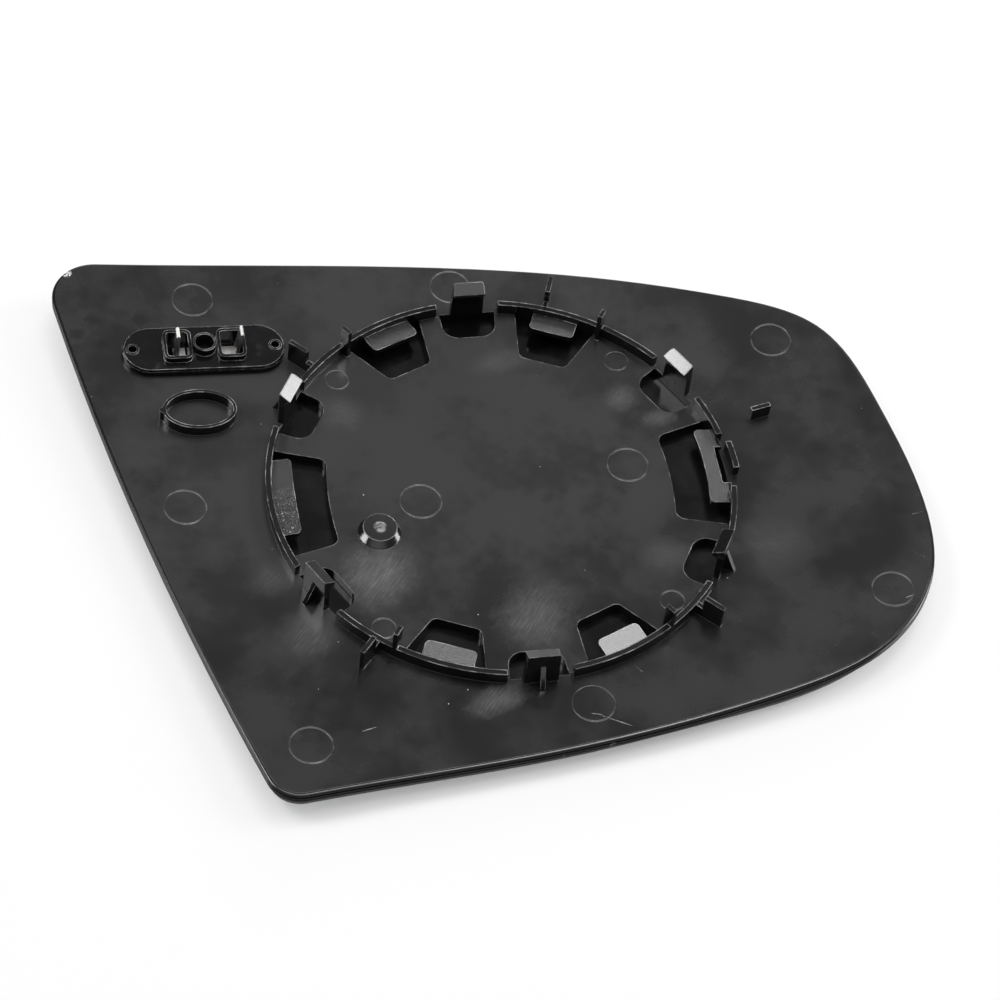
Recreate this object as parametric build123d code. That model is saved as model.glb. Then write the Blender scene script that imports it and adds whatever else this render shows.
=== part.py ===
from build123d import *
import math
import os

# Heated door mirror glass, lying on its mirrored face. Millimetres, +Z out of the back.
# The origin is on the axis of the clip ring, on the back of the plate.
# +X points to the outer end of the mirror and +Y to its top edge.

# Layers: the mirrored face is convex and every layer behind it follows that dome
mirror_radius = 1300.0
glass_thickness = 1.8
glass_inset = 0.8
glass_edge_chamfer = 0.5
foil_thickness = 0.4
foil_margin = 6.0
plate_thickness = 2.4
adhesive_film = 0.1
rim_chamfer = 0.65

# Outline: the inner edge is one arc, the other three sides are one sweep round the outer end
top_inner_corner = (-94.9, 70.0)
inner_edge_middle = (-80.0, 0.0)
bottom_inner_corner = (-57.6, -76.3)
outer_sweep = [(0.0, -69.6), (50.0, -60.3), (75.0, -50.7), (88.7, -35.0), (92.2, -12.0),
               (88.5, 15.0), (79.2, 39.3), (60.0, 50.0), (30.0, 58.8), (-30.0, 66.8)]
top_inner_round = 10.0
bottom_inner_round = 7.0

# Clip ring: a low round wall broken by the hooks
ring_inner_radius = 50.2
wall_thickness = 1.3
wall_height = 2.9
hook_count = 6
hook_start_angle = 90.0
hook_foot_width = 7.7
hook_tip_width = 6.9
hook_tip_round = 0.6
hook_height = 9.3
hook_lip = 1.35
hook_lead_drop = 1.4
hook_nose = 0.7
hook_gap = 14.2
gusset_thickness = 1.1
gusset_reach = 2.6
gusset_height = 5.7
hook_window_depth = 6.8
hook_window_width = 12.7
hook_window_taper = 0.6
hook_window_round = 3.5

# Ledges: sprung shelves on the wall, each over a window in the plate
ledge_depth = 5.1
ledge_thickness = 1.2
ledge_foot_height = 1.05
ledge_tip_height = 1.9
ledge_round = 1.2
ledge_turns = {"outer": 23.3, "inner": 22.6}
ledge_lengths = {"outer": 10.2, "inner": 11.3}
ledge_window_turn = 23.3
ledge_window_depth = 12.3
ledge_window_outer = 19.0
ledge_window_inner = 10.6
ledge_window_round = 1.7
side_ledge_length = 20.4
side_ledge_shift = 0.7
side_window_outer = 30.0
side_window_inner = 22.8
side_window_round = 2.2
side_window_bow = 0.9
side_ledge_bows = {"outer": 0.8, "inner": 0.3}
spring_gap = 14.6
spring_slot_depth = 1.5
spring_slot_length = 10.0
spring_shift = 1.0
spring_guard_length = 7.4
spring_guard_shift = 2.4

# Fins: four tall ones inside the ring wall, and low radial ribs outside it
post_gap = 0.94
post_thickness = 1.0
post_depth = 2.5
post_height = 7.9
rib_angles = [136.0, 70.0, -45.3, -129.7]
rib_thickness = 1.1
rib_length = 4.9
rib_offset = 1.6
rib_height = 6.0
stub_height = 2.7
lone_rib_angle = 13.3
lone_rib_offset = 8.7
lone_rib_length = 4.6
lone_rib_height = 3.4

# Collar and gate mark
collar_centre = (-63.4, 25.1)
collar_length = 16.2
collar_width = 10.8
collar_wall = 0.75
collar_height = 2.6
collar_lump_radius = 0.8
gate_inset = 20.63
gate_angle = 198.1
gate_foot_diameter = 9.3
gate_top_diameter = 7.4
gate_height = 1.9
gate_nub_diameter = 2.9
gate_nub_top = 1.7
gate_nub_height = 0.6

# Terminal holder and the two blades that stand in its sockets
holder_centre = (-60.6, 42.8)
holder_length = 36.4
holder_width = 12.6
holder_thickness = 1.9
holder_chamfer = 0.45
holder_clearance = 0.05
rivet_spacing = 31.8
rivet_hole_diameter = 1.9
rivet_rim_diameter = 2.9
rivet_rim_height = 0.2
socket_spacing = 12.0
socket_width = 6.3
socket_length = 8.1
socket_wall = 0.75
socket_round = 1.5
socket_height = 1.5
locator_diameter = 5.2
locator_bore = 4.2
locator_height = 2.0
blade_width = 2.8
blade_thickness = 0.8
blade_height = 7.6
blade_tip_chamfer = 0.35
blade_offsets = {"terminal_left": (-0.1, 0.0), "terminal_right": (0.9, 7.0)}
foot_thickness = 0.5
foot_clearance = 0.2

# Values that follow from the sizes above
back_radius = mirror_radius - glass_thickness - foil_thickness - plate_thickness - 2 * adhesive_film
foil_back_radius = back_radius + plate_thickness + adhesive_film
glass_back_radius = foil_back_radius + foil_thickness + adhesive_film
ring_outer_radius = ring_inner_radius + wall_thickness
blank_reach = 30.0
least_round = 0.5


def back_height(x, y):
    """Height of the dished back of the plate over the origin."""
    return back_radius - math.sqrt(back_radius ** 2 - x ** 2 - y ** 2)


def inside_ring(inset, angle):
    """Point in the ring, given by its distance in from the wall and its angle."""
    reach = ring_inner_radius - inset
    return (reach * math.cos(math.radians(angle)), reach * math.sin(math.radians(angle)))


ring_level = back_height(ring_inner_radius, 0)
embed = plate_thickness / 2
window_edge = math.asin((ledge_window_outer / 2 + post_gap) / ring_inner_radius)
post_turn = ledge_window_turn + math.degrees(window_edge)


def ball(radius):
    """Solid ball about the centre of the dome, turned so that its poles are off the part."""
    return Pos(0, 0, back_radius) * Sphere(radius, rotation=(90, 0, 0))


def seat(centre):
    """Plane that touches the back of the plate at a point, with its X along the part's X."""
    x, y = centre
    point = Vector(x, y, back_height(x, y))
    normal = Vector(0, 0, back_radius) - point
    along = Vector(1, 0, 0).cross(normal).cross(normal) * -1
    return Plane(origin=point, x_dir=along, z_dir=normal)


def upright(sketch, low, high):
    """Prism of a plan sketch between two heights."""
    return Pos(0, 0, low) * extrude(sketch, amount=high - low)


def spoke_prism(profile, width):
    """Prism of a profile drawn with X outwards and Y up, centred on the +X axis."""
    return extrude(Plane.XZ * profile, amount=width / 2, both=True)


def moved_point(curve, along, inset):
    """Point of an outline curve, moved squarely off it. The outline runs anticlockwise."""
    way = curve % along
    return curve @ along + Vector(-way.Y, way.X) * inset


def moved_corner(before, after, inset):
    """Corner where two outline curves meet once both are moved by the same distance."""
    first = Vector(-(before % 1).Y, (before % 1).X)
    second = Vector(-(after % 0).Y, (after % 0).X)
    return after @ 0 + (first + second) * (inset / (1 + first.dot(second)))


def outline(inset):
    """Plan of the mirror with its edge moved inwards, the same distance all round."""
    sweep = Spline([bottom_inner_corner, *outer_sweep, top_inner_corner])
    edge = ThreePointArc(top_inner_corner, inner_edge_middle, bottom_inner_corner)
    if inset:
        bottom = moved_corner(edge, sweep, inset)
        top = moved_corner(sweep, edge, inset)
        stations = len(outer_sweep) + 3
        points = [moved_point(sweep, k / stations, inset) for k in range(1, stations)]
        middle = moved_point(edge, 0.5, inset)
        sweep = Spline([bottom, *points, top])
        edge = ThreePointArc(top, middle, bottom)
    return make_face([sweep, edge])


def block(inset):
    """Tall block of the outline with its two inner corners rounded."""
    solid = upright(outline(inset), -blank_reach, blank_reach)
    low_corner = solid.edges().filter_by(Axis.Z).sort_by(Axis.Y)[0]
    solid = fillet(low_corner, max(bottom_inner_round - inset, least_round))
    high_corner = solid.edges().filter_by(Axis.Z).sort_by(Axis.Y)[-1]
    return fillet(high_corner, max(top_inner_round - inset, least_round))


def layer(inset, inner_radius, thickness):
    """Domed sheet of the outline."""
    return (block(inset) & ball(inner_radius + thickness)) - ball(inner_radius)


def dome_face(solid, highest):
    """The upper or the lower domed face of a sheet."""
    domes = solid.faces().filter_by(GeomType.SPHERE).sort_by(Axis.Z)
    return domes[-1] if highest else domes[0]


def hook_window():
    """Window in front of a hook, drawn for the hook on the +X axis."""
    deep = ring_inner_radius - hook_window_depth
    half = hook_window_width / 2
    shape = Polygon((ring_inner_radius, half), (deep, half - hook_window_taper),
                    (deep, hook_window_taper - half), (ring_inner_radius, -half), align=None)
    return fillet(shape.vertices().sort_by(Axis.X)[:2], hook_window_round)


def bowed_plan(near, far, near_width, far_width, shift, bow):
    """Plan on the +X axis between two distances, with its nearer edge straight or bowed outwards."""
    low = (near, shift - near_width / 2)
    high = (near, shift + near_width / 2)
    sides = Polyline(low, (far, shift - far_width / 2), (far, shift + far_width / 2), high)
    end = ThreePointArc(high, (near + bow, shift), low) if bow else Line(high, low)
    return make_face([sides, end])


def ledge_window(outer, inner, corner, bow):
    """Window under a ledge, wider at the wall, with its inner edge straight or bowed."""
    deep = ring_inner_radius - ledge_window_depth - bow
    shape = bowed_plan(deep, ring_inner_radius, inner, outer, 0, bow)
    return fillet(shape.vertices().sort_by(Axis.X)[:2], corner) & Circle(ring_inner_radius)


def hook():
    """Snap hook on the +X axis: a stem, a lip with a sloping lead-in, and a gusset behind."""
    top = ring_level + hook_height
    lip = ring_inner_radius - hook_lip
    nose_top = top - hook_lead_drop
    profile = Polygon((ring_inner_radius, -plate_thickness), (ring_outer_radius, -plate_thickness),
                      (ring_outer_radius, top), (lip, nose_top), (lip, nose_top - hook_nose),
                      (ring_inner_radius, nose_top - hook_nose - hook_lip / 2), align=None)
    face = Polygon((-hook_foot_width / 2, -plate_thickness), (hook_foot_width / 2, -plate_thickness),
                   (hook_tip_width / 2, top), (-hook_tip_width / 2, top), align=None)
    face = fillet(face.vertices().sort_by(Axis.Y)[-2:], hook_tip_round)
    taper = extrude(Plane.YZ * face, amount=2 * ring_outer_radius)
    stem = spoke_prism(profile, hook_foot_width) & taper
    heel = ring_outer_radius + gusset_reach
    brace = Polygon((ring_outer_radius, -plate_thickness), (heel, -plate_thickness), (heel, ring_level),
                    (ring_outer_radius, ring_level + gusset_height), align=None)
    return stem + spoke_prism(brace, gusset_thickness)


def ledge(length, shift, bow):
    """Sprung shelf on the inside of the wall, rising to its inner edge, which is straight or bowed."""
    tip = ring_inner_radius - ledge_depth - bow / 2
    root = ring_inner_radius + wall_thickness / 2
    plan = bowed_plan(tip, root, length, length, shift, bow)
    plan = fillet(plan.vertices().sort_by(Axis.X)[:2], ledge_round)
    foot_top = ring_level + ledge_foot_height
    tip_top = back_height(tip, 0) + ledge_tip_height
    section = Polygon((root, foot_top - ledge_thickness), (root, foot_top), (tip, tip_top),
                      (tip, tip_top - ledge_thickness), align=None)
    return upright(plan & Circle(root), 0, ring_level + wall_height) & spoke_prism(section, 2 * length)


def clip_wall():
    """The round wall, open at the hooks and at the sprung side, with the guard outside that gap."""
    middle = ring_inner_radius + wall_thickness / 2
    plan = Circle(ring_outer_radius) - Circle(ring_inner_radius)
    for angle in hook_angles():
        plan -= Rot(0, 0, angle) * Pos(middle, 0) * Rectangle(4 * wall_thickness, hook_gap)
    plan -= Pos(middle, spring_shift) * Rectangle(4 * wall_thickness, spring_gap)
    guard = Circle(ring_outer_radius + wall_thickness) - Circle(ring_outer_radius)
    reach = Rectangle(4 * wall_thickness, spring_guard_length)
    plan += guard & Pos(ring_outer_radius, spring_guard_shift) * reach
    return upright(plan, -plate_thickness, ring_level + wall_height)


def hook_angles():
    return [hook_start_angle + 360 / hook_count * k for k in range(hook_count)]


def paired(outer_turn, inner_turn):
    """Angles on both sides of the top hook and of the bottom hook, the two outer ones first."""
    return [90 - outer_turn, 270 + outer_turn, 90 + inner_turn, 270 - inner_turn]


def post():
    """Tall fin that crosses the wall on the +X axis."""
    centre = ring_outer_radius - post_depth / 2
    plan = Pos(centre, 0) * Rectangle(post_depth, post_thickness)
    return upright(plan, -plate_thickness, ring_level + post_height)


def radial_rib(start, length, height):
    """Upright rib on the +X axis that begins at a radius."""
    level = back_height(start + length / 2, 0)
    plan = Pos(start + length / 2, 0) * Rectangle(length, rib_thickness)
    return upright(plan, -plate_thickness, level + height)


def joined_rib():
    """Rib outside the wall, joined to it by a lower stub."""
    start = ring_outer_radius + rib_offset
    reach = rib_offset + wall_thickness / 2
    return (radial_rib(start, rib_length, rib_height)
            + radial_rib(start - reach, reach + rib_thickness / 2, stub_height))


def collar():
    """Oval collar with a small lump on its inner end."""
    outer = Ellipse(collar_length / 2, collar_width / 2)
    inner = Ellipse(collar_length / 2 - collar_wall, collar_width / 2 - collar_wall)
    lump = Pos(-collar_length / 2, 0) * Circle(collar_lump_radius)
    return seat(collar_centre) * upright(outer + lump - inner, -embed, collar_height)


def gate_boss():
    """Coned boss with the broken gate nub in its middle."""
    cone = Cone(gate_foot_diameter / 2, gate_top_diameter / 2, gate_height,
                align=(Align.CENTER, Align.CENTER, Align.MIN))
    foot = upright(Circle(gate_foot_diameter / 2), -embed, 0)
    nub = Pos(0, 0, gate_height) * Cone(gate_nub_diameter / 2, gate_nub_top / 2, gate_nub_height,
                                        align=(Align.CENTER, Align.CENTER, Align.MIN))
    return seat(inside_ring(gate_inset, gate_angle)) * (cone + foot + nub)


def socket_opening(clearance):
    """Plan of one socket's opening, with its corners rounded."""
    width = socket_width - 2 * socket_wall + 2 * clearance
    length = socket_length - 2 * socket_wall + 2 * clearance
    return RectangleRounded(width, length, socket_round - socket_wall + clearance)


def sockets(sketch):
    """The same plan sketch at both socket positions."""
    return [Pos(side * socket_spacing / 2, 0) * sketch for side in (-1, 1)]


def backing_plate():
    """One moulding: the domed plate with its rim, the clip ring and everything that stands on it."""
    plate = layer(0, back_radius, plate_thickness)
    plate = chamfer(dome_face(plate, True).outer_wire().edges(), rim_chamfer)
    windows = [Rot(0, 0, angle) * hook_window() for angle in hook_angles()]
    small = ledge_window(ledge_window_outer, ledge_window_inner, ledge_window_round, 0)
    windows += [Rot(0, 0, angle) * small for angle in paired(ledge_window_turn, ledge_window_turn)]
    bowed = ledge_window(side_window_outer, side_window_inner, side_window_round, side_window_bow)
    windows += [bowed, Rot(0, 0, 180) * bowed]
    plate -= [upright(window, -blank_reach, blank_reach) for window in windows]
    plate -= [seat(holder_centre) * upright(cut, -2 * plate_thickness, plate_thickness)
              for cut in sockets(socket_opening(foot_clearance))]
    slot = Rectangle(spring_slot_depth + wall_thickness, spring_slot_length)
    slot = Pos(ring_inner_radius + (wall_thickness - spring_slot_depth) / 2, spring_shift) * slot
    spring = ledge(side_ledge_length, side_ledge_shift, side_ledge_bows["outer"])
    spring -= upright(slot, 0, ring_level + wall_height)
    shelf = ledge(side_ledge_length, -side_ledge_shift, side_ledge_bows["inner"])
    raised = [clip_wall(), spring, Rot(0, 0, 180) * shelf]
    raised += [Rot(0, 0, angle) * hook() for angle in hook_angles()]
    turns = paired(ledge_turns["outer"], ledge_turns["inner"])
    lengths = [ledge_lengths[end] for end in ("outer", "outer", "inner", "inner")]
    raised += [Rot(0, 0, angle) * ledge(length, 0, 0) for angle, length in zip(turns, lengths)]
    raised += [Rot(0, 0, angle) * post() for angle in paired(post_turn, post_turn)]
    raised += [Rot(0, 0, angle) * joined_rib() for angle in rib_angles]
    lone = radial_rib(ring_outer_radius + lone_rib_offset, lone_rib_length, lone_rib_height)
    raised += [Rot(0, 0, lone_rib_angle) * lone, collar(), gate_boss()]
    rooted = ball(back_radius + embed)
    return plate + [shape & rooted for shape in raised]


def heater_foil():
    """Heating foil between the plate and the glass, set in from the edge."""
    return layer(foil_margin, foil_back_radius, foil_thickness)


def mirror_glass():
    """Convex glass with its edges ground off, set in just behind the rim of the plate."""
    glass = layer(glass_inset, glass_back_radius, glass_thickness)
    glass = chamfer(dome_face(glass, True).outer_wire().edges(), glass_edge_chamfer)
    return chamfer(dome_face(glass, False).outer_wire().edges(), glass_edge_chamfer)


def terminal_holder():
    """Rounded holder on the plate: two sockets, a locating boss between them and two rivet holes."""
    body = upright(SlotOverall(holder_length, holder_width), -embed, holder_thickness)
    body = chamfer(body.faces().sort_by(Axis.Z)[-1].edges(), holder_chamfer)
    frame = RectangleRounded(socket_width, socket_length, socket_round)
    body += [upright(s, 0, holder_thickness + socket_height) for s in sockets(frame)]
    body += upright(Circle(locator_diameter / 2), 0, holder_thickness + locator_height)
    rivets = [Pos(side * rivet_spacing / 2, 0) for side in (-1, 1)]
    rim = upright(Circle(rivet_rim_diameter / 2), 0, holder_thickness + rivet_rim_height)
    body += [p * rim for p in rivets]
    top = holder_thickness + locator_height
    body -= [upright(cut, -plate_thickness, top) for cut in sockets(socket_opening(0))]
    body -= upright(Circle(locator_bore / 2), -plate_thickness, top)
    body -= [upright(p * Circle(rivet_hole_diameter / 2), -plate_thickness, top) for p in rivets]
    return seat(holder_centre) * body & ball(back_radius - holder_clearance)


def terminal(side, shift, lean):
    """Blade on a bent foot that rests on the heating foil and points to the middle of the holder."""
    floor = -plate_thickness - adhesive_film + holder_clearance
    width = socket_width - 2 * socket_wall - 2 * foot_clearance
    length = socket_length - 2 * socket_wall - 2 * foot_clearance
    inner = -side * width / 2
    outer = shift + side * blade_thickness / 2
    foot = Pos((inner + outer) / 2, 0) * Rectangle(abs(inner - outer), length)
    foot = upright(foot, floor, floor + foot_thickness)
    blade = Pos(0, 0, floor) * Box(blade_thickness, blade_width, blade_height - floor,
                                   align=(Align.CENTER, Align.CENTER, Align.MIN))
    blade = chamfer(blade.faces().sort_by(Axis.Z)[-1].edges().filter_by(Axis.Y), blade_tip_chamfer)
    hinge = Pos(shift, 0, floor) * Rot(0, lean, 0) * Pos(0, 0, -floor)
    above = upright(Rectangle(2 * width, length), floor, 2 * blade_height)
    placed = seat(holder_centre) * Pos(side * socket_spacing / 2, 0, 0) * (foot + (hinge * blade & above))
    return placed & ball(foil_back_radius - adhesive_film / 2)


nodes = {
    "backing_plate": backing_plate(),
    "heater_foil": heater_foil(),
    "mirror_glass": mirror_glass(),
    "terminal_holder": terminal_holder(),
    "terminal_left": terminal(-1, *blade_offsets["terminal_left"]),
    "terminal_right": terminal(1, *blade_offsets["terminal_right"]),
}

os.makedirs("parts", exist_ok=True)
for name, shape in nodes.items():
    export_step(shape, f"parts/{name}.step")
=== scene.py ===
"""Looks of a heated car door mirror glass that lies face down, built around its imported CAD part."""

import math

import bpy
from mathutils import Matrix, Vector


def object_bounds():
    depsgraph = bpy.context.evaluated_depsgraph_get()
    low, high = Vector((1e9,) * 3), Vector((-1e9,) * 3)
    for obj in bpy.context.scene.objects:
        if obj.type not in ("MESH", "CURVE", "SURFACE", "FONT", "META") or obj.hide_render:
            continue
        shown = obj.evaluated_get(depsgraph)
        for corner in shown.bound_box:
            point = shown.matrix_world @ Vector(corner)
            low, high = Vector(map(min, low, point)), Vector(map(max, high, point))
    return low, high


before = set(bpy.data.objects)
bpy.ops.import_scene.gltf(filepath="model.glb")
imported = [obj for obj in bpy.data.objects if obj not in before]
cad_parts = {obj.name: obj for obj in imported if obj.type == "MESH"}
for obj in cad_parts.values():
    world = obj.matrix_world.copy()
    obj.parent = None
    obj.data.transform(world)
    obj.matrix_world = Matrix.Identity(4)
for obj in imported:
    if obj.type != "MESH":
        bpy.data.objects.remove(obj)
cad_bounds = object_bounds()


# ---- Backing plate ----
# One moulding in black plastic with a satin back, stuck to the heating foil. Its clip ring, ribs,
# collar and gate boss are moulded with it. Handling has scuffed it, and ejector pins left rings.
# Sizes and places of the finish are in millimetres, from the middle of the clip ring.
dome_radius = 1295.2
plate_black = (0.0085, 0.0085, 0.0087, 1.0)
plate_haze_and_sheen = (0.034, 0.034, 0.0346, 1.0)
scuff_and_sheen_grey = (0.21, 0.21, 0.21, 1.0)
sanded_grey = (0.04, 0.04, 0.0406, 1.0)
dust_white = (0.85, 0.85, 0.84, 1.0)
wear_and_highlight_grey = (0.8, 0.8, 0.8, 1.0)
plate_gloss = 1.6
coat_roughness = 0.13
edge_round = 0.3
relief_depth = 0.12
looks_up = (0.9, 0.97)
hook_tips = (5.5, 7.0)
ledge_start = (44.4, 44.7)
ledge_end = (50.15, 50.05)
left_ledge = (-44.0, -40.0)
window_start = (34.0, 34.5)
window_end = (49.6, 49.3)
gate_place = (-28.1, -9.2)
gate_edge = (8.0, 7.5)
gate_lean = 0.8
rim_start = (57.0, 58.0)
rim_chamfer = 0.65
rim_middle = 2 * rim_chamfer
rim_line_depth = 1.55
chamfer_lean = 1.414
side_lean = 0.84
wide_pin_radius = 4.5
small_pin_radius = 2.6
wide_pin_places = (
    (-61.5, 57.9), (-68.9, 0.3), (-49.7, -63.2), (68.1, 35.5), (79.6, -36.5),
    (10.1, -58.2), (-2.5, 58.2), (-17.9, -1.5), (29.1, 4.2),
)
small_pin_places = ((31.8, 33.4), (-31.8, 33.4), (-30.6, -34.6), (31.8, -33.4))
rising_turn = 52
falling_turn = -18
streak_size = (4.5, 0.25)
scratch_half_width = 0.12
# Each scuff is its middle, half length, half width, turn and strength. One that is turned upwards
# has the rising streaks, any other has the falling ones.
scuffs = (
    (-30.0, -20.0, 12.0, 10.0, 56, 1.0),
    (2.0, -34.0, 12.0, 10.0, 54, 0.75),
    (-9.8, -55.0, 9.0, 4.5, 20, 0.9),
    (-46.5, -35.0, 9.0, 8.0, 36, 0.55),
    (-52.0, -20.0, 8.0, 5.5, 26, 0.4),
    (56.0, -20.5, 10.0, 8.0, -18, 0.3),
    (33.5, -22.0, 7.5, 6.0, -14, 0.35),
    (31.0, 23.0, 5.5, 4.5, 43, 0.7),
    (38.5, 16.5, 5.0, 3.0, 10, 0.6),
    (-32.0, 24.0, 6.0, 6.0, -52, 0.35),
    (6.0, 36.0, 9.0, 4.0, 12, 0.3),
    (-58.0, 24.0, 9.0, 4.0, -30, 0.2),
)
smudge_places = ((-84.2, 52.7), (-88.1, 48.9), (-82.6, 46.4), (-74.5, 52.4))
nick_place = (-89.0, 66.3)
# Each chip in the lower rim is its place along the rim and half its length.
rim_chips = ((1.9, 0.25), (12.4, 0.9))
# Each scratch is its two ends.
scratches = (
    ((-39.8, -60.8), (-35.0, -59.5)),
    ((8.8, -60.5), (11.5, -61.2)),
    ((10.5, -61.0), (17.5, -65.0)),
    ((20.5, -49.5), (22.0, -51.5)),
    ((81.5, -39.2), (84.1, -38.5)),
    ((88.3, -17.2), (91.1, -16.7)),
)


class Shade:
    """An output socket of a material. Arithmetic on it adds Math nodes."""

    def __init__(self, socket):
        self.socket = socket

    def node(self, kind, settings, values, output=0):
        """Adds any other node: its settings first, then the values or links of its sockets."""
        tree = self.socket.id_data
        made = tree.nodes.new(kind)
        for name, setting in settings.items():
            setattr(made, name, setting)
        for key, value in values.items():
            if isinstance(value, Shade):
                tree.links.new(value.socket, made.inputs[key])
            else:
                made.inputs[key].default_value = value
        return Shade(made.outputs[output])

    def out(self, name):
        return Shade(self.socket.node.outputs[name])

    def feed(self, shader, name):
        self.socket.id_data.links.new(self.socket, shader.inputs[name])

    def math(self, operation, *values):
        return self.node("ShaderNodeMath", {"operation": operation}, dict(enumerate(values)))

    def __add__(self, other):
        return self.math("ADD", self, other)

    def __radd__(self, other):
        return self.math("ADD", other, self)

    def __sub__(self, other):
        return self.math("SUBTRACT", self, other)

    def __rsub__(self, other):
        return self.math("SUBTRACT", other, self)

    def __mul__(self, other):
        return self.math("MULTIPLY", self, other)

    def __rmul__(self, other):
        return self.math("MULTIPLY", other, self)

    def __truediv__(self, other):
        return self.math("DIVIDE", self, other)

    def __rtruediv__(self, other):
        return self.math("DIVIDE", other, self)

    def __pow__(self, power):
        return self.math("POWER", self, power)

    def __abs__(self):
        return self.math("ABSOLUTE", self)


def larger(one, other):
    return one.math("MAXIMUM", one, other)


def smaller(one, other):
    return one.math("MINIMUM", one, other)


def ramp(value, start, end, low=0.0, high=1.0):
    """A smooth step from low at start to high at end."""
    return value.node(
        "ShaderNodeMapRange", {"interpolation_type": "SMOOTHSTEP"},
        {"Value": value, "From Min": start, "From Max": end, "To Min": low, "To Max": high},
    )


def grain(vector, scale, detail=2.0, roughness=0.5):
    return vector.node(
        "ShaderNodeTexNoise", {},
        {"Vector": vector, "Scale": scale, "Detail": detail, "Roughness": roughness},
    )


def stretched(vector, middle, turn, size):
    """Plan coordinates about a middle, turned and divided by a size in both directions."""
    return vector.node(
        "ShaderNodeMapping", {"vector_type": "TEXTURE"},
        {
            "Vector": vector, "Location": (*middle, 0.0),
            "Rotation": (0.0, 0.0, math.radians(turn)), "Scale": (*size, 1.0),
        },
    )


def span(vector):
    return vector.node("ShaderNodeVectorMath", {"operation": "LENGTH"}, {0: vector}, "Value")


def apart(vector, middle):
    """The distance in plan from a place."""
    return vector.node(
        "ShaderNodeVectorMath", {"operation": "DISTANCE"}, {0: vector, 1: (*middle, 0.0)}, "Value"
    )


def tint(amount, one, other):
    return amount.node("ShaderNodeMix", {"data_type": "RGBA"}, {0: amount, 6: one, 7: other}, 2)


def scaled(one, factor):
    return one.node("ShaderNodeVectorMath", {"operation": "SCALE"}, {0: one, "Scale": factor})


def new_finish(name, *nodes):
    """A material for these nodes: its surface shader and the place on the part in millimetres."""
    material = bpy.data.materials.new(name)
    material.use_nodes = True
    tree = material.node_tree
    for node in nodes:
        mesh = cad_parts[node].data
        mesh.materials.clear()
        mesh.materials.append(material)
    metres = Shade(tree.nodes.new("ShaderNodeTexCoord").outputs["Object"])
    return tree.nodes["Principled BSDF"], scaled(metres, 1000.0)


def vector(operation, one, *others):
    values = dict(enumerate((one, *others)))
    return one.node("ShaderNodeVectorMath", {"operation": operation}, values)


def upward(one):
    """How far a direction points up, from -1 to 1."""
    return one.node("ShaderNodeSeparateXYZ", {}, {0: one}, "Z")


def flat_facing(place):
    """The direction of the flat face, with no rounding."""
    return place.node("ShaderNodeNewGeometry", {}, {}, "True Normal")


def likeness(one, other):
    """How alike two directions are: 1 for the same."""
    return one.node(
        "ShaderNodeVectorMath", {"operation": "DOT_PRODUCT"}, {0: one, 1: other}, "Value"
    )


def rounded_edge(place, radius):
    """The surface direction with every sharp edge rounded off a little."""
    return place.node("ShaderNodeBevel", {"samples": 6}, {"Radius": radius / 1000.0})


def domed(place, direction, on_dome, way):
    """The direction made true to the dome wherever on_dome is 1, with the edges still rounded."""
    meshed = place.node("ShaderNodeNewGeometry", {}, {}, "Normal")
    outwards = vector("NORMALIZE", vector("SUBTRACT", place, (0.0, 0.0, dome_radius)))
    true = vector("MULTIPLY", outwards, (way, way, way))
    true = vector("NORMALIZE", vector("ADD", vector("SUBTRACT", direction, meshed), true))
    return on_dome.node(
        "ShaderNodeMix", {"data_type": "VECTOR"}, {0: on_dome, 4: direction, 5: true}, 1
    )


def relief(height, distance, normal):
    return height.node(
        "ShaderNodeBump", {}, {"Height": height, "Distance": distance / 1000.0, "Normal": normal}
    )


plate, place = new_finish("black satin plastic", "backing_plate")
x = place.node("ShaderNodeSeparateXYZ", {}, {0: place})
y, z = x.out("Y"), x.out("Z")
plan = x.node("ShaderNodeCombineXYZ", {}, {"X": x, "Y": y})
reach = (x * x + y * y) ** 0.5
rise = dome_radius - z
depth = (reach * reach + rise * rise) ** 0.5 - dome_radius
facing = flat_facing(place)
facing_up = upward(facing)
on_back = ramp(abs(depth), 0.3, 0.15) * ramp(facing_up, *looks_up)
on_dome = ramp(depth, 0.06, 0.03) * ramp(depth, -0.2, -0.12) * ramp(facing_up, *looks_up)

# Ledges are sanded on top, hooks are polished at the tip and the gate boss ends in a broken stub.
on_ledge = (
    ramp(reach, *ledge_start) * ramp(reach, *ledge_end) * ramp(z, 0.9, 1.1)
    * ramp(z, 4.0, 3.6) * ramp(facing_up, 0.75, 0.85)
)
polished = ramp(z, *hook_tips) * ramp(y, -5.0, 5.0)
torn = on_ledge * ramp(x, -40.0, -42.0) * ramp(y, 4.0, -4.0)
sand = grain(place, 2.6, 3.0, 0.7)
speck = grain(place, 2.0, 4.0, 0.75)
from_gate = apart(plan, gate_place)
on_gate = ramp(from_gate, *gate_edge) * ramp(depth, -0.4, -0.6) * ramp(facing_up, *looks_up)
gate_side = ramp(from_gate, *gate_edge) * ramp(depth, -0.05, -0.2) * ramp(facing_up, 0.9, 0.8)
broken = ramp(depth, -1.95, -2.1) * ramp(from_gate, 1.9, 1.6)

# Upper edges and window rims are painted light grey in patches where their rounding faces up: a
# painted highlight along the edges.
soft = rounded_edge(place, edge_round)
soft_up = upward(soft)
turned = likeness(soft, facing)
raised = ramp(depth, -0.45, -0.65) * (1.0 - ramp(z, *hook_tips) * 0.5)
raised = larger(raised, ramp(reach, *window_start) * ramp(reach, *window_end) * 0.6)
edge_highlight = ramp(turned, 0.985, 0.92) * ramp(soft_up, 0.15, 0.4) * raised
edge_highlight = edge_highlight * ramp(grain(place, 0.25, 4.0, 0.65), 0.42, 0.64, 0.08, 1.0)

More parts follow.
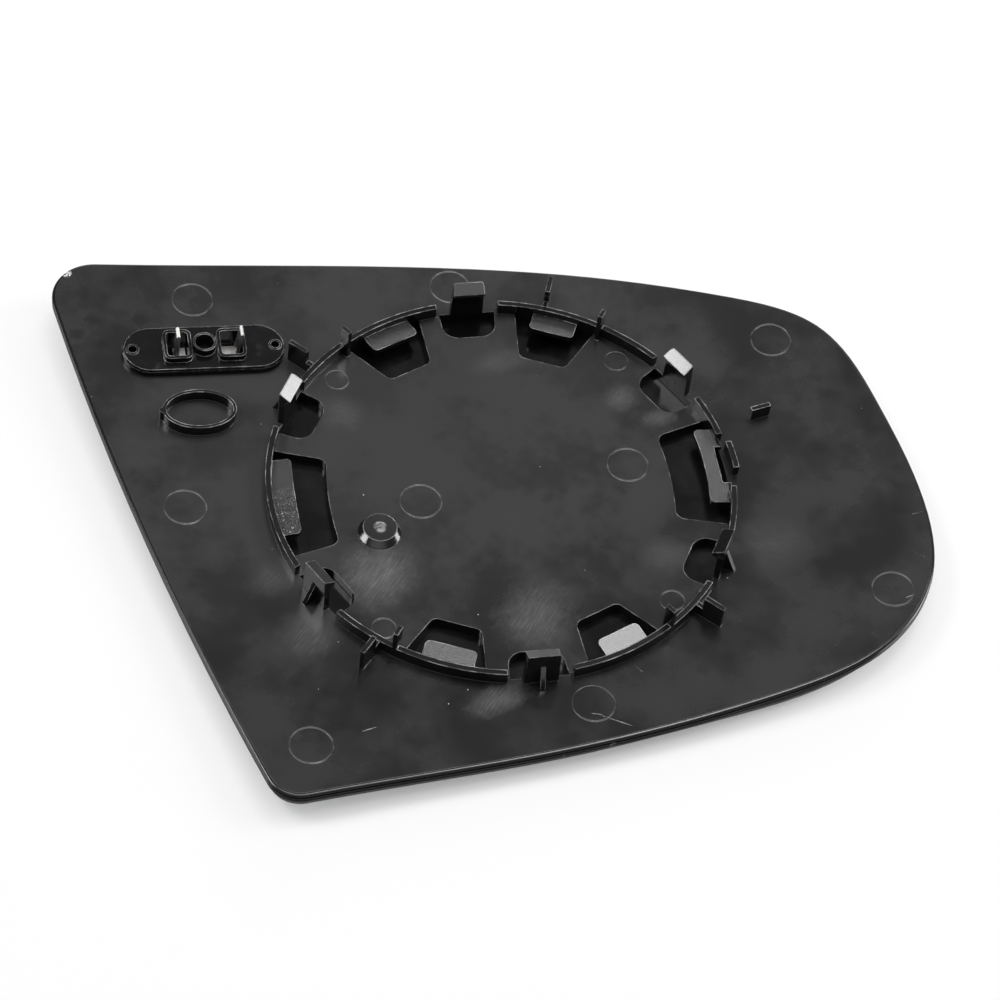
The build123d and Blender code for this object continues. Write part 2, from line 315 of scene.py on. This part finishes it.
# Handling marks: scuffs with streaks, single scratches and dust.
rag = grain(plan, 0.35, 4.0, 0.6) - 0.5
rising = grain(stretched(plan, (0.0, 0.0), rising_turn, streak_size), 1.0, 4.0, 0.7)
falling = grain(stretched(plan, (0.0, 0.0), falling_turn, streak_size), 1.0, 4.0, 0.7)
scuffed = None
for middle_x, middle_y, half_length, half_width, turn, strength in scuffs:
    middle = (middle_x, middle_y)
    away = span(stretched(plan, middle, turn, (half_length, half_width))) + rag * 0.9
    streaks = rising if turn > 0 else falling
    mark = ramp(away, 1.1, 0.1) * (ramp(streaks, 0.38, 0.75) * 0.42 + 0.36) * strength
    scuffed = mark if scuffed is None else larger(scuffed, mark)
hairlines = ramp(larger(rising, falling), 0.66, 0.82) * ramp(rag, -0.1, 0.15)
scuffed = larger(scuffed, hairlines * 0.45) * on_back
scratched = None
for (from_x, from_y), (to_x, to_y) in scratches:
    length = math.hypot(to_x - from_x, to_y - from_y)
    turn = math.degrees(math.atan2(to_y - from_y, to_x - from_x))
    middle = ((from_x + to_x) / 2, (from_y + to_y) / 2)
    size = (length / 2, scratch_half_width)
    mark = ramp(span(stretched(plan, middle, turn, size)), 1.0, 0.5)
    scratched = mark if scratched is None else larger(scratched, mark)
scratched = scratched * ramp(rag, -0.12, 0.06) * on_back
cells = plan.node("ShaderNodeTexVoronoi", {}, {"Vector": plan, "Scale": 0.2}, "Distance")
pick = cells.out("Color")
chosen = pick.node("ShaderNodeSeparateXYZ", {}, {0: pick})
dusty = ramp(cells, 0.032, 0.014) * ramp(chosen, 0.55, 0.9) * on_back

# Fingers left dark smudges by the holder. Knocks left a nick in the top corner and two rim chips.
from_smudge = None
for middle in smudge_places:
    off = apart(plan, middle)
    from_smudge = off if from_smudge is None else smaller(from_smudge, off)
smudged = ramp(from_smudge + rag * 4.0, 2.6, 0.6)
knocked = ramp(apart(plan, nick_place), 1.3, 0.8) * ramp(speck, 0.46, 0.58)
for middle, half_length in rim_chips:
    chip = ramp(abs(x - middle), half_length, half_length / 2) * ramp(y, -60.0, -62.0)
    knocked = larger(knocked, chip * ramp(depth, 0.9, 1.2) * ramp(sand, 0.45, 0.65) * 0.25)

# Ejector pins leave fine rings in the back.
from_ring = None
for places, radius in (
    (wide_pin_places, wide_pin_radius), (small_pin_places, small_pin_radius)
):
    for middle in places:
        off = abs(apart(plan, middle) - radius)
        from_ring = off if from_ring is None else smaller(from_ring, off)
pin_ring = ramp(from_ring, 0.24, 0.06) * on_back

# The side of the rim is duller than its edge, and a fine lighter line is painted round it: partly a
# parting line, partly a painted reflection of the floor in the side.
on_side = ramp(depth, 1.2, 1.4) * ramp(reach, *rim_start)
rim_line_and_reflection = ramp(abs(depth - rim_line_depth), 0.25, 0.12)
rim_line_and_reflection = rim_line_and_reflection * ramp(reach, *rim_start) * ramp(facing_up, 0.5, 0.3)

haze = grain(place, 0.045, 3.0, 0.55)
fine = grain(place, 4.0, 2.0, 0.5)
# Painted sheen: the back is painted hazier and lighter over a wide patch up and to the left of the
# ring's middle, standing in for the lights' reflection there. The rest of the haze is random tone.
painted_sheen = ramp(span(stretched(plan, (-20.0, 22.0), 20, (88.0, 62.0))), 1.2, 0.2)
haze_and_sheen = ramp(haze + rag * 0.3, 0.36, 0.64, 0.0, 0.6) + painted_sheen * 0.75
haze_and_sheen = haze_and_sheen * (1.0 - smudged * 0.8)
colour = tint(larger(on_back, on_gate) * haze_and_sheen, plate_black, plate_haze_and_sheen)
colour = tint(scuffed * 0.75, colour, scuff_and_sheen_grey)
colour = tint(scratched * 0.45, colour, dust_white)
colour = tint(pin_ring * ramp(rag, -0.05, 0.2, 0.06, 0.55), colour, scuff_and_sheen_grey)
colour = tint(rim_line_and_reflection * 0.22, colour, scuff_and_sheen_grey)
sanded = on_ledge * ramp(sand, 0.3, 0.7, 0.35, 1.0) * ramp(x, *left_ledge, 0.2, 1.0)
colour = tint(sanded, colour, sanded_grey)
colour = tint(torn * ramp(speck, 0.55, 0.68), colour, wear_and_highlight_grey)
colour = tint(broken * ramp(sand, 0.35, 0.6, 0.05, 0.3), colour, wear_and_highlight_grey)
# Painted highlight: light grey along the upper edges.
colour = tint(edge_highlight, colour, wear_and_highlight_grey)
colour = tint(larger(dusty, knocked), colour, dust_white)
colour.feed(plate, "Base Color")
satin = ramp(haze, 0.3, 0.75, 0.11, 0.16) + (fine - 0.5) * 0.05
satin = satin + scuffed * 0.12 + on_back * 0.07
satin = satin + on_ledge * ramp(x, *left_ledge, 0.12, 0.03) + on_side * 0.2
satin.feed(plate, "Roughness")
shine = larger(on_ledge * ramp(x, *left_ledge, 0.1, 0.9), polished * 0.7)
larger(shine, edge_highlight).feed(plate, "Coat Weight")
plate.inputs["Coat Roughness"].default_value = coat_roughness
plate.inputs["IOR"].default_value = plate_gloss
plate.inputs["Coat IOR"].default_value = plate_gloss
height = sand * on_ledge * 1.2 + ramp(speck, 0.5, 0.7) * torn * 1.5
height = height - pin_ring * 0.35 - scratched * 0.4 + fine * 0.05 + scuffed * 0.12
direction = domed(place, soft, on_dome, -1.0)

# The rim's edge is rounded over and its side leans a little. The gate boss flares at its foot.
is_side = ramp(facing_up, 0.5, 0.3)
on_chamfer = ramp(depth, 0.0, rim_chamfer, chamfer_lean, 0.0) * (1.0 - is_side)
lean = on_chamfer + ramp(depth, rim_chamfer, rim_middle, 1.0, side_lean) * is_side
lean = lean * ramp(depth, 0.0, 0.03) * ramp(reach, *rim_start)
lean = larger(lean, gate_side * gate_lean)
level = upward(direction) * -1.0
upright = scaled(vector("ADD", scaled(direction, level), (0.0, 0.0, 1.0)), lean)
direction = vector("NORMALIZE", vector("ADD", direction, upright))
relief(height, relief_depth, direction).feed(plate, "Normal")


# ---- Heater foil ----
# Thin dark film with the heating tracks inside it, stuck between the plate and the glass.
# Only what shows through the plate's windows and at the sockets can be seen.
film_black = (0.003, 0.003, 0.0031, 1.0)
film_grey = (0.009, 0.009, 0.0093, 1.0)

film, place = new_finish("dark heating film", "heater_foil")
haze = grain(place, 0.12, 4.0, 0.6)
fine = grain(place, 1.5, 2.0, 0.5)
tint(ramp(haze, 0.35, 0.7), film_black, film_grey).feed(film, "Base Color")
ramp(haze, 0.3, 0.7, 0.1, 0.18).feed(film, "Roughness")
relief(fine, 0.02, rounded_edge(place, 0.05)).feed(film, "Normal")


# ---- Mirror glass ----
# Convex glass, mirrored over its front, which faces down, with a ground edge all round.
# It is stuck to the foil and carries the whole stack.
mirror_silver = (0.86, 0.88, 0.88, 1.0)
ground_grey = (0.014, 0.016, 0.0155, 1.0)

glass, place = new_finish("mirrored glass", "mirror_glass")
facing = flat_facing(place)
facing_up = upward(facing)
mirrored = ramp(facing_up, -0.9, -0.95)
smudge = ramp(grain(place, 0.05, 4.0, 0.6), 0.5, 0.75)
ground = grain(place, 3.0, 3.0, 0.6)
tint(mirrored, ground_grey, mirror_silver).feed(glass, "Base Color")
mirrored.feed(glass, "Metallic")
(mirrored * (smudge * 0.05 - 0.42) + ground * 0.2 + 0.34).feed(glass, "Roughness")
domed(place, rounded_edge(place, 0.1), mirrored, 1.0).feed(glass, "Normal")


# ---- Terminal holder ----
# A small glossy black moulding, pinned to the plate at its two ends, with a socket for each blade.
# A round boss between the sockets locates the plug.
holder_black = (0.006, 0.006, 0.0062, 1.0)
holder_wear = (0.034, 0.034, 0.034, 1.0)
holder_edge_highlight = (0.8, 0.8, 0.8, 1.0)

holder, place = new_finish("glossy black plastic", "terminal_holder")
haze = grain(place, 0.3, 4.0, 0.6)
fine = grain(place, 3.0, 2.0, 0.5)
soft = rounded_edge(place, 0.25)
soft_up = upward(soft)
facing = flat_facing(place)
turned = likeness(soft, facing)
# Edges whose rounding faces up are painted near white in patches: a painted highlight.
edge_highlight = ramp(turned, 0.985, 0.92) * ramp(soft_up, 0.2, 0.45) * ramp(haze, 0.4, 0.62, 0.12, 0.9)
colour = tint(ramp(haze, 0.55, 0.75, 0.0, 0.5), holder_black, holder_wear)
tint(edge_highlight, colour, holder_edge_highlight).feed(holder, "Base Color")
edge_highlight.feed(holder, "Coat Weight")
ramp(haze, 0.3, 0.75, 0.08, 0.16).feed(holder, "Roughness")
relief(fine, 0.02, soft).feed(holder, "Normal")


# ---- Blades ----
# Two flat push-on terminals in bright tin plate, each with its foot on the foil and its blade up in
# a socket. Plugging has left fine upright scratches, and faces that look up are dull.
tin_bright = (0.95, 0.94, 0.92, 1.0)
tin_dull = (0.7, 0.69, 0.67, 1.0)

blade, place = new_finish("bright tin plate", "terminal_left", "terminal_right")
along = place.node(
    "ShaderNodeMapping", {"vector_type": "TEXTURE"}, {"Vector": place, "Scale": (0.25, 0.25, 6.0)}
)
drawn = grain(along, 1.0, 3.0, 0.6)
tint(ramp(drawn, 0.45, 0.75), tin_bright, tin_dull).feed(blade, "Base Color")
facing = flat_facing(place)
facing_up = upward(facing)
dulled = ramp(facing_up, 0.6, 0.8)
(1.0 - dulled * 0.85).feed(blade, "Metallic")
(ramp(drawn, 0.3, 0.7, 0.22, 0.36) + dulled * 0.55).feed(blade, "Roughness")
relief(drawn, 0.03, rounded_edge(place, 0.12)).feed(blade, "Normal")


# ---- Floor, light and camera ----
# A plain white floor that keeps a soft shadow, a white backdrop, soft boxes and low cards.
# The camera stands where the photograph was taken from.
floor_white = (0.9, 0.9, 0.9, 1.0)
backdrop_white = (1.0, 1.0, 1.0, 1.0)
room_grey = (0.05, 0.05, 0.05, 1.0)
wall_grey = (0.2, 0.2, 0.2, 1.0)
ceiling_grey = (1.0, 1.0, 1.0, 1.0)
floor_size = 8.0
floor_plain = 0.78
contact_reach = 0.012
backdrop_top = (0.06, 0.14)
wall_start = (0.6, 0.78)
ceiling_start = (0.88, 0.96)
# Each light is its turn round the part from the camera's right and its height, in degrees, its
# distance, width and height in metres, and its power.
lights = {
    "left soft box": (174, 52, 1.6, 0.61, 0.39, 8.7),
    "right soft box": (24, 33, 1.6, 0.65, 0.52, 11.6),
    "top soft box": (63, 65, 3.0, 0.78, 0.78, 13.9),
    "ceiling panel": (90, 78, 2.0, 0.96, 0.52, 4.6),
    "back soft box": (86, 22, 1.2, 1.05, 0.39, 4.1),
    "low left card": (176, 15, 1.5, 0.7, 0.35, 2.3),
    "low right card": (2, 12, 1.5, 0.7, 0.35, 2.3),
}
view_turn = -15.8
view_height = 52.04
view_roll = 8.35
view_distance = 0.69565
view_shift = (-0.000567, -0.004491)
view_lens = 115.2
view_sensor = 36.0
view_middle = (0.0, 0.0, 0.0039)
view_nearest = 0.05

bpy.ops.mesh.primitive_plane_add(size=floor_size, location=(0.0, 0.0, cad_bounds[0][2]))
floor = bpy.context.object
floor.name = "floor"
paper = bpy.data.materials.new("white paper")
paper.use_nodes = True
tree = paper.node_tree
tree.nodes.remove(tree.nodes["Principled BSDF"])
seen = Shade(tree.nodes.new("ShaderNodeLightPath").outputs["Is Camera Ray"])
seen = larger(seen, larger(seen.out("Is Glossy Ray"), seen.out("Is Transmission Ray")))
lit = seen.node("ShaderNodeBsdfDiffuse", {}, {"Color": floor_white})
plain = seen.node("ShaderNodeEmission", {}, {"Color": (1.0, 1.0, 1.0, 1.0), "Strength": 1.0})
# Ambient occlusion takes part of the white away close to the part: a painted contact shadow, which
# the part's reflections of the floor show too.
open_sky = seen.node(
    "ShaderNodeAmbientOcclusion", {"samples": 12}, {"Distance": contact_reach}, "AO"
)
share = seen * open_sky * floor_plain
sheet = seen.node("ShaderNodeMixShader", {}, {0: share, 1: lit, 2: plain})
sheet.feed(tree.nodes["Material Output"], "Surface")
floor.data.materials.append(paper)

room = bpy.data.worlds.new("room")
room.use_nodes = True
bpy.context.scene.world = room
tree = room.node_tree
tree.nodes.remove(tree.nodes["Background"])
toward = Shade(tree.nodes.new("ShaderNodeTexCoord").outputs["Generated"])
overhead = upward(toward)
tone = tint(ramp(overhead, *backdrop_top), backdrop_white, room_grey)
tone = tint(ramp(overhead, *wall_start), tone, wall_grey)
tone = tint(ramp(overhead, *ceiling_start), tone, ceiling_grey)
around = toward.node("ShaderNodeBackground", {}, {"Color": tone, "Strength": 1.0})
around.feed(tree.nodes["World Output"], "Surface")

for name, (round_turn, high, distance, width, tall, power) in lights.items():
    flat = math.radians(round_turn + view_turn)
    up = math.radians(high)
    toward_light = (math.cos(flat) * math.cos(up), math.sin(flat) * math.cos(up), math.sin(up))
    spot = Vector(toward_light) * distance
    light = bpy.data.lights.new(name, "AREA")
    light.shape = "RECTANGLE"
    light.size, light.size_y = width, tall
    light.energy = power
    lamp = bpy.data.objects.new(name, light)
    lamp.location = spot
    lamp.rotation_euler = spot.to_track_quat("Z", "Y").to_euler()
    bpy.context.scene.collection.objects.link(lamp)

aim = (
    Matrix.Rotation(math.radians(view_turn), 4, "Z")
    @ Matrix.Rotation(math.radians(90.0 - view_height), 4, "X")
    @ Matrix.Rotation(math.radians(view_roll), 4, "Z")
)
eye = Vector(view_middle) + aim.to_3x3() @ Vector((*view_shift, view_distance))
camera = bpy.data.objects.new("camera", bpy.data.cameras.new("camera"))
camera.data.sensor_width = view_sensor
camera.data.lens = view_lens
camera.data.clip_start = view_nearest
camera.matrix_world = Matrix.Translation(eye) @ aim
bpy.context.scene.collection.objects.link(camera)
bpy.context.scene.camera = camera
bpy.context.scene.view_settings.view_transform = "Standard"
